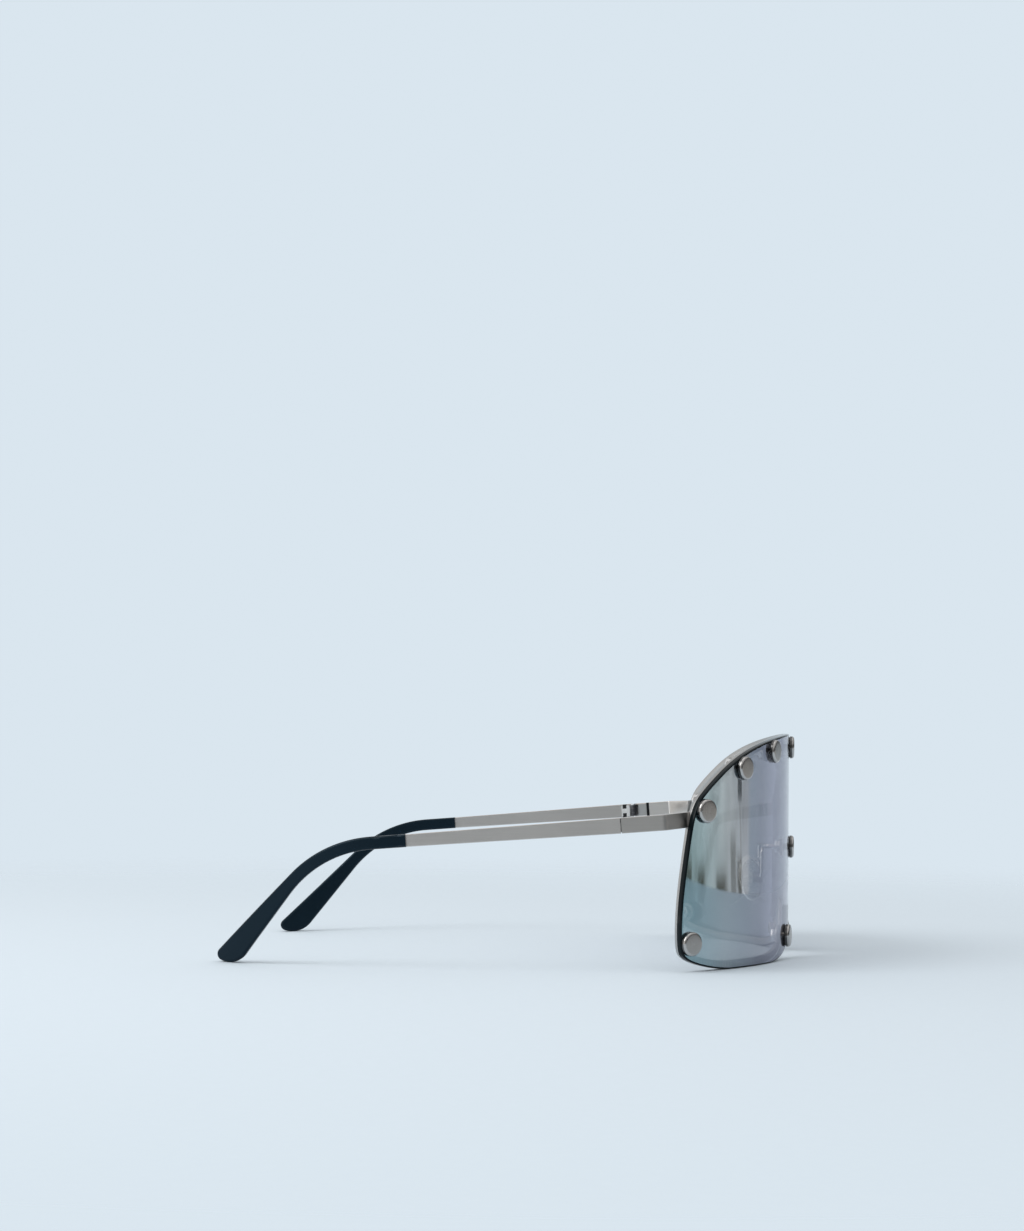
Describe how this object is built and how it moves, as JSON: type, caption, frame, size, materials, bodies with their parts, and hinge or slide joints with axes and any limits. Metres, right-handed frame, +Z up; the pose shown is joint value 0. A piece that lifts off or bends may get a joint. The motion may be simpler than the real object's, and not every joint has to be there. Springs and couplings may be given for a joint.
{
  "type": "shield sunglasses",
  "caption": "Wraparound shield sunglasses: one bent mirrored lens studded to a slim steel rim, with flat folding temples, bent black tips and rocking nose pads.",
  "frame": {"origin": "centre of the bounding box on the floor that the open glasses stand on", "axes": "+Y from the lens back to the temple tips, +Z up, wearer's right at minus X"},
  "size_m": [0.1476, 0.1674, 0.0673],
  "materials": {
    "satin_steel": "satin",
    "stud_steel": "satin turned",
    "fastener_steel": "bright",
    "mirror_lens": "flash mirrored",
    "black_acetate": "polished",
    "black_nylon": "matte",
    "clear_silicone": "clear"
  },
  "bodies": {
    "front_frame": {"end_piece_left": "satin_steel", "end_piece_right": "satin_steel", "front_rim": "satin_steel", "hinge_front_leaf_left": "satin_steel", "hinge_front_leaf_right": "satin_steel", "hinge_screw_left": "fastener_steel", "hinge_screw_right": "fastener_steel", "lens_studs": "stud_steel", "pad_arm_left": "fastener_steel", "pad_arm_right": "fastener_steel", "pad_box_left": "fastener_steel", "pad_box_right": "fastener_steel", "pad_bridge": "satin_steel", "pad_screw_left": "fastener_steel", "pad_screw_right": "fastener_steel", "shield_lens": "mirror_lens", "stud_nuts": "fastener_steel", "stud_washers": "black_nylon"},
    "temple_arm_right": {"temple_right": "satin_steel", "hinge_temple_leaf_right": "satin_steel", "temple_tip_right": "black_acetate"},
    "temple_arm_left": {"temple_left": "satin_steel", "hinge_temple_leaf_left": "satin_steel", "temple_tip_left": "black_acetate"},
    "pad_right": {"nose_pad_right": "clear_silicone"},
    "pad_left": {"nose_pad_left": "clear_silicone"}
  },
  "joints": [
    {"name": "temple_fold_right", "type": "hinge", "parent": "front_frame", "child": "temple_arm_right", "pos_m": [-0.07022, -0.0329, 0.04114], "axis": [0, -0.0819, -0.9966], "range_deg": [0, 92]},
    {"name": "temple_fold_left", "type": "hinge", "parent": "front_frame", "child": "temple_arm_left", "pos_m": [0.07022, -0.0329, 0.04114], "axis": [0, 0.0819, 0.9966], "range_deg": [0, 86]},
    {"name": "pad_rock_right", "type": "hinge", "parent": "front_frame", "child": "pad_right", "pos_m": [-0.0116, -0.07165, 0.0238], "axis": [-0.4067, 0.9135, 0], "range_deg": [-8, 8]},
    {"name": "pad_rock_left", "type": "hinge", "parent": "front_frame", "child": "pad_left", "pos_m": [0.0116, -0.07165, 0.0238], "axis": [0.4067, 0.9135, 0], "range_deg": [-8, 8]}
  ]
}
